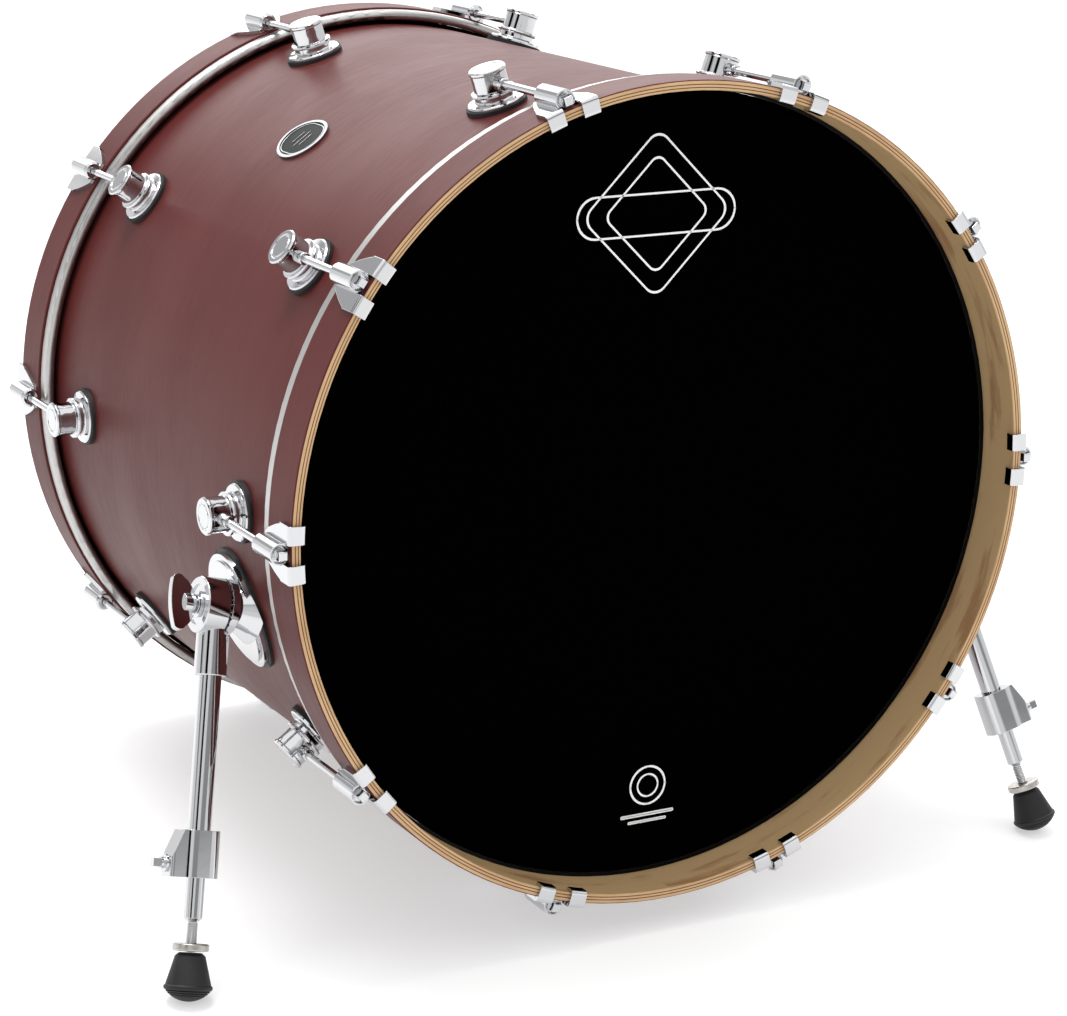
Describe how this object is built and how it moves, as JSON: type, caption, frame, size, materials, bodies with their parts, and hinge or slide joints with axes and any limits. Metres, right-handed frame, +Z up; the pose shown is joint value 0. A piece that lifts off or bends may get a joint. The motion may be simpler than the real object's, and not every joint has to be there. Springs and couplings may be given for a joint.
{
  "type": "bass drum",
  "caption": "Bass drum with a stained maple shell, black heads, wooden hoops held by claws and tension rods, and two folding spur legs.",
  "frame": {"origin": "centre of the bounding box at floor level, on the plane through both rubber feet and the foot of the rear hoop", "axes": "+Z up, -Y towards the front head, +X to the drum's left side as seen by the player behind it; the drum's axis is tipped 2.8 degrees, front end up"},
  "size_m": [0.7406, 0.5608, 0.6088],
  "materials": {
    "stained_maple_shell": "satin burgundy stain over maple ply, natural inside",
    "stained_maple_hoop": "satin burgundy stain outside, natural maple edge and bore",
    "black_film": "matte black polyester film",
    "aluminium_flesh_hoop": "bright rolled aluminium",
    "chrome_hardware": "polished chrome plate",
    "chrome_trim": "polished chrome plate",
    "badge_enamel": "dark gloss enamel with plain raised rings",
    "rubber_gasket": "matte black rubber",
    "rubber_foot": "matte black rubber",
    "satin_nut": "satin nickel, knurled rim",
    "zinc_screws": "zinc plated"
  },
  "bodies": {
    "drum": {"shell": "stained_maple_shell", "badge_plate": "badge_enamel", "badge_rim": "chrome_trim", "lug_gaskets": "rubber_gasket", "swivel_nuts": "chrome_hardware", "mounting_screws": "zinc_screws", "mounting_washers": "zinc_screws", "spur_gaskets": "rubber_gasket", "front_lugs": "chrome_hardware", "rear_lugs": "chrome_hardware", "spur_bracket_left": "chrome_hardware", "spur_bracket_right": "chrome_hardware"},
    "front_hoop_set": {"front_hoop": "stained_maple_hoop", "front_head": "black_film", "front_flesh_hoop": "aluminium_flesh_hoop", "front_claws": "chrome_hardware", "front_claw_washers": "chrome_hardware"},
    "front_tension_rod_1": {"front_tension_rod_1": "chrome_hardware"},
    "front_tension_rod_2": {"front_tension_rod_2": "chrome_hardware"},
    "front_tension_rod_3": {"front_tension_rod_3": "chrome_hardware"},
    "front_tension_rod_4": {"front_tension_rod_4": "chrome_hardware"},
    "front_tension_rod_5": {"front_tension_rod_5": "chrome_hardware"},
    "front_tension_rod_6": {"front_tension_rod_6": "chrome_hardware"},
    "front_tension_rod_7": {"front_tension_rod_7": "chrome_hardware"},
    "front_tension_rod_8": {"front_tension_rod_8": "chrome_hardware"},
    "front_tension_rod_9": {"front_tension_rod_9": "chrome_hardware"},
    "front_tension_rod_10": {"front_tension_rod_10": "chrome_hardware"},
    "rear_hoop_set": {"rear_hoop": "stained_maple_hoop", "rear_head": "black_film", "rear_flesh_hoop": "aluminium_flesh_hoop", "rear_claws": "chrome_hardware", "rear_claw_washers": "chrome_hardware"},
    "rear_tension_rod_1": {"rear_tension_rod_1": "chrome_hardware"},
    "rear_tension_rod_2": {"rear_tension_rod_2": "chrome_hardware"},
    "rear_tension_rod_3": {"rear_tension_rod_3": "chrome_hardware"},
    "rear_tension_rod_4": {"rear_tension_rod_4": "chrome_hardware"},
    "rear_tension_rod_5": {"rear_tension_rod_5": "chrome_hardware"},
    "rear_tension_rod_6": {"rear_tension_rod_6": "chrome_hardware"},
    "rear_tension_rod_7": {"rear_tension_rod_7": "chrome_hardware"},
    "rear_tension_rod_8": {"rear_tension_rod_8": "chrome_hardware"},
    "rear_tension_rod_9": {"rear_tension_rod_9": "chrome_hardware"},
    "rear_tension_rod_10": {"rear_tension_rod_10": "chrome_hardware"},
    "spur_leg_left": {"spur_knuckle_left": "chrome_hardware", "spur_tube_left": "chrome_hardware", "memory_lock_left": "chrome_hardware"},
    "leg_rod_left": {"spur_rod_left": "chrome_hardware"},
    "foot_left": {"rubber_foot_left": "rubber_foot"},
    "lock_nut_left": {"lock_nut_left": "satin_nut"},
    "key_screw_left": {"key_screw_left": "chrome_hardware"},
    "pivot_washer_left": {"pivot_washer_left": "chrome_hardware"},
    "wing_bolt_left": {"wing_bolt_left": "chrome_hardware"},
    "spur_leg_right": {"spur_knuckle_right": "chrome_hardware", "spur_tube_right": "chrome_hardware", "memory_lock_right": "chrome_hardware"},
    "leg_rod_right": {"spur_rod_right": "chrome_hardware"},
    "foot_right": {"rubber_foot_right": "rubber_foot"},
    "lock_nut_right": {"lock_nut_right": "satin_nut"},
    "key_screw_right": {"key_screw_right": "chrome_hardware"},
    "pivot_washer_right": {"pivot_washer_right": "chrome_hardware"},
    "wing_bolt_right": {"wing_bolt_right": "chrome_hardware"}
  },
  "joints": [
    {"name": "front_hoop_loosen", "type": "slide", "parent": "drum", "child": "front_hoop_set", "axis": [0, -0.9988, 0.0483], "range_m": [0, 0.012]},
    {"name": "front_tension_rod_1_turn", "type": "hinge", "parent": "front_hoop_set", "child": "front_tension_rod_1", "pos_m": [0.09193, -0.24183, 0.59938], "axis": [0, -0.9988, 0.0483], "range_deg": [0, 4086]},
    {"name": "front_tension_rod_2_turn", "type": "hinge", "parent": "front_hoop_set", "child": "front_tension_rod_2", "pos_m": [0.24068, -0.24705, 0.49143], "axis": [0, -0.9988, 0.0483], "range_deg": [0, 4086]},
    {"name": "front_tension_rod_3_turn", "type": "hinge", "parent": "front_hoop_set", "child": "front_tension_rod_3", "pos_m": [0.2975, -0.2555, 0.31677], "axis": [0, -0.9988, 0.0483], "range_deg": [0, 4086]},
    {"name": "front_tension_rod_4_turn", "type": "hinge", "parent": "front_hoop_set", "child": "front_tension_rod_4", "pos_m": [0.24068, -0.26395, 0.14211], "axis": [0, -0.9988, 0.0483], "range_deg": [0, 4086]},
    {"name": "front_tension_rod_5_turn", "type": "hinge", "parent": "front_hoop_set", "child": "front_tension_rod_5", "pos_m": [0.09193, -0.26918, 0.03416], "axis": [0, -0.9988, 0.0483], "range_deg": [0, 4086]},
    {"name": "front_tension_rod_6_turn", "type": "hinge", "parent": "front_hoop_set", "child": "front_tension_rod_6", "pos_m": [-0.09193, -0.26918, 0.03416], "axis": [0, -0.9988, 0.0483], "range_deg": [0, 4086]},
    {"name": "front_tension_rod_7_turn", "type": "hinge", "parent": "front_hoop_set", "child": "front_tension_rod_7", "pos_m": [-0.24068, -0.26395, 0.14211], "axis": [0, -0.9988, 0.0483], "range_deg": [0, 4086]},
    {"name": "front_tension_rod_8_turn", "type": "hinge", "parent": "front_hoop_set", "child": "front_tension_rod_8", "pos_m": [-0.2975, -0.2555, 0.31677], "axis": [0, -0.9988, 0.0483], "range_deg": [0, 4086]},
    {"name": "front_tension_rod_9_turn", "type": "hinge", "parent": "front_hoop_set", "child": "front_tension_rod_9", "pos_m": [-0.24068, -0.24705, 0.49143], "axis": [0, -0.9988, 0.0483], "range_deg": [0, 4086]},
    {"name": "front_tension_rod_10_turn", "type": "hinge", "parent": "front_hoop_set", "child": "front_tension_rod_10", "pos_m": [-0.09193, -0.24183, 0.59938], "axis": [0, -0.9988, 0.0483], "range_deg": [0, 4086]},
    {"name": "rear_hoop_loosen", "type": "slide", "parent": "drum", "child": "rear_hoop_set", "axis": [0, 0.9988, -0.0483], "range_m": [0, 0.012]},
    {"name": "rear_tension_rod_1_turn", "type": "hinge", "parent": "rear_hoop_set", "child": "rear_tension_rod_1", "pos_m": [-0.09193, 0.26918, 0.57465], "axis": [0, 0.9988, -0.0483], "range_deg": [0, 4086]},
    {"name": "rear_tension_rod_2_turn", "type": "hinge", "parent": "rear_hoop_set", "child": "rear_tension_rod_2", "pos_m": [-0.24068, 0.26395, 0.46671], "axis": [0, 0.9988, -0.0483], "range_deg": [0, 4086]},
    {"name": "rear_tension_rod_3_turn", "type": "hinge", "parent": "rear_hoop_set", "child": "rear_tension_rod_3", "pos_m": [-0.2975, 0.2555, 0.29204], "axis": [0, 0.9988, -0.0483], "range_deg": [0, 4086]},
    {"name": "rear_tension_rod_4_turn", "type": "hinge", "parent": "rear_hoop_set", "child": "rear_tension_rod_4", "pos_m": [-0.24068, 0.24705, 0.11738], "axis": [0, 0.9988, -0.0483], "range_deg": [0, 4086]},
    {"name": "rear_tension_rod_5_turn", "type": "hinge", "parent": "rear_hoop_set", "child": "rear_tension_rod_5", "pos_m": [-0.09193, 0.24183, 0.00944], "axis": [0, 0.9988, -0.0483], "range_deg": [0, 4086]},
    {"name": "rear_tension_rod_6_turn", "type": "hinge", "parent": "rear_hoop_set", "child": "rear_tension_rod_6", "pos_m": [0.09193, 0.24183, 0.00944], "axis": [0, 0.9988, -0.0483], "range_deg": [0, 4086]},
    {"name": "rear_tension_rod_7_turn", "type": "hinge", "parent": "rear_hoop_set", "child": "rear_tension_rod_7", "pos_m": [0.24068, 0.24705, 0.11738], "axis": [0, 0.9988, -0.0483], "range_deg": [0, 4086]},
    {"name": "rear_tension_rod_8_turn", "type": "hinge", "parent": "rear_hoop_set", "child": "rear_tension_rod_8", "pos_m": [0.2975, 0.2555, 0.29204], "axis": [0, 0.9988, -0.0483], "range_deg": [0, 4086]},
    {"name": "rear_tension_rod_9_turn", "type": "hinge", "parent": "rear_hoop_set", "child": "rear_tension_rod_9", "pos_m": [0.24068, 0.26395, 0.46671], "axis": [0, 0.9988, -0.0483], "range_deg": [0, 4086]},
    {"name": "rear_tension_rod_10_turn", "type": "hinge", "parent": "rear_hoop_set", "child": "rear_tension_rod_10", "pos_m": [0.09193, 0.26918, 0.57465], "axis": [0, 0.9988, -0.0483], "range_deg": [0, 4086]},
    {"name": "spur_fold_left", "type": "hinge", "parent": "drum", "child": "spur_leg_left", "pos_m": [-0.29707, -0.14784, 0.24508], "axis": [0.9728, -0.0112, -0.2315], "range_deg": [0, 108]},
    {"name": "leg_extend_left", "type": "slide", "parent": "spur_leg_left", "child": "leg_rod_left", "axis": [-0.2201, -0.3574, -0.9076], "range_m": [-0.025, 0.045]},
    {"name": "pivot_washer_lift_left", "type": "slide", "parent": "drum", "child": "pivot_washer_left", "axis": [-0.9728, 0.0112, 0.2315], "range_m": [0, 0.005]},
    {"name": "wing_bolt_turn_left", "type": "hinge", "parent": "pivot_washer_left", "child": "wing_bolt_left", "pos_m": [-0.31069, -0.14768, 0.24832], "axis": [-0.9728, 0.0112, 0.2315], "range_deg": [0, 1442]},
    {"name": "key_screw_turn_left", "type": "hinge", "parent": "spur_leg_left", "child": "key_screw_left", "pos_m": [-0.35915, -0.21048, 0.0909], "axis": [-0.9728, 0.0112, 0.2315], "range_deg": [0, 720]},
    {"name": "lock_nut_turn_left", "type": "hinge", "parent": "leg_rod_left", "child": "lock_nut_left", "pos_m": [-0.34813, -0.23077, 0.03451], "axis": [0.2201, 0.3574, 0.9076], "range_deg": [0, 1440]},
    {"name": "foot_turn_left", "type": "hinge", "parent": "leg_rod_left", "child": "foot_left", "pos_m": [-0.35209, -0.2372, 0.01818], "axis": [0.2201, 0.3574, 0.9076], "range_deg": [0, 1440]},
    {"name": "spur_fold_right", "type": "hinge", "parent": "drum", "child": "spur_leg_right", "pos_m": [0.29707, -0.14784, 0.24508], "axis": [0.9728, 0.0112, 0.2315], "range_deg": [0, 108]},
    {"name": "leg_extend_right", "type": "slide", "parent": "spur_leg_right", "child": "leg_rod_right", "axis": [0.2201, -0.3574, -0.9076], "range_m": [-0.025, 0.045]},
    {"name": "pivot_washer_lift_right", "type": "slide", "parent": "drum", "child": "pivot_washer_right", "axis": [0.9728, 0.0112, 0.2315], "range_m": [0, 0.005]},
    {"name": "wing_bolt_turn_right", "type": "hinge", "parent": "pivot_washer_right", "child": "wing_bolt_right", "pos_m": [0.31069, -0.14768, 0.24832], "axis": [0.9728, 0.0112, 0.2315], "range_deg": [0, 1442]},
    {"name": "key_screw_turn_right", "type": "hinge", "parent": "spur_leg_right", "child": "key_screw_right", "pos_m": [0.35915, -0.21048, 0.0909], "axis": [0.9728, 0.0112, 0.2315], "range_deg": [0, 720]},
    {"name": "lock_nut_turn_right", "type": "hinge", "parent": "leg_rod_right", "child": "lock_nut_right", "pos_m": [0.34813, -0.23077, 0.03451], "axis": [-0.2201, 0.3574, 0.9076], "range_deg": [0, 1440]},
    {"name": "foot_turn_right", "type": "hinge", "parent": "leg_rod_right", "child": "foot_right", "pos_m": [0.35209, -0.2372, 0.01818], "axis": [-0.2201, 0.3574, 0.9076], "range_deg": [0, 1440]}
  ],
  "couplings": [
    {"joint": "front_tension_rod_1_turn", "follows": "front_hoop_loosen", "rad_per_m": 5938.7},
    {"joint": "front_tension_rod_2_turn", "follows": "front_hoop_loosen", "rad_per_m": 5938.7},
    {"joint": "front_tension_rod_3_turn", "follows": "front_hoop_loosen", "rad_per_m": 5938.7},
    {"joint": "front_tension_rod_4_turn", "follows": "front_hoop_loosen", "rad_per_m": 5938.7},
    {"joint": "front_tension_rod_5_turn", "follows": "front_hoop_loosen", "rad_per_m": 5938.7},
    {"joint": "front_tension_rod_6_turn", "follows": "front_hoop_loosen", "rad_per_m": 5938.7},
    {"joint": "front_tension_rod_7_turn", "follows": "front_hoop_loosen", "rad_per_m": 5938.7},
    {"joint": "front_tension_rod_8_turn", "follows": "front_hoop_loosen", "rad_per_m": 5938.7},
    {"joint": "front_tension_rod_9_turn", "follows": "front_hoop_loosen", "rad_per_m": 5938.7},
    {"joint": "front_tension_rod_10_turn", "follows": "front_hoop_loosen", "rad_per_m": 5938.7},
    {"joint": "rear_tension_rod_1_turn", "follows": "rear_hoop_loosen", "rad_per_m": 5938.7},
    {"joint": "rear_tension_rod_2_turn", "follows": "rear_hoop_loosen", "rad_per_m": 5938.7},
    {"joint": "rear_tension_rod_3_turn", "follows": "rear_hoop_loosen", "rad_per_m": 5938.7},
    {"joint": "rear_tension_rod_4_turn", "follows": "rear_hoop_loosen", "rad_per_m": 5938.7},
    {"joint": "rear_tension_rod_5_turn", "follows": "rear_hoop_loosen", "rad_per_m": 5938.7},
    {"joint": "rear_tension_rod_6_turn", "follows": "rear_hoop_loosen", "rad_per_m": 5938.7},
    {"joint": "rear_tension_rod_7_turn", "follows": "rear_hoop_loosen", "rad_per_m": 5938.7},
    {"joint": "rear_tension_rod_8_turn", "follows": "rear_hoop_loosen", "rad_per_m": 5938.7},
    {"joint": "rear_tension_rod_9_turn", "follows": "rear_hoop_loosen", "rad_per_m": 5938.7},
    {"joint": "rear_tension_rod_10_turn", "follows": "rear_hoop_loosen", "rad_per_m": 5938.7},
    {"joint": "wing_bolt_turn_left", "follows": "pivot_washer_lift_left", "rad_per_m": 5026.5},
    {"joint": "wing_bolt_turn_right", "follows": "pivot_washer_lift_right", "rad_per_m": 5026.5}
  ]
}
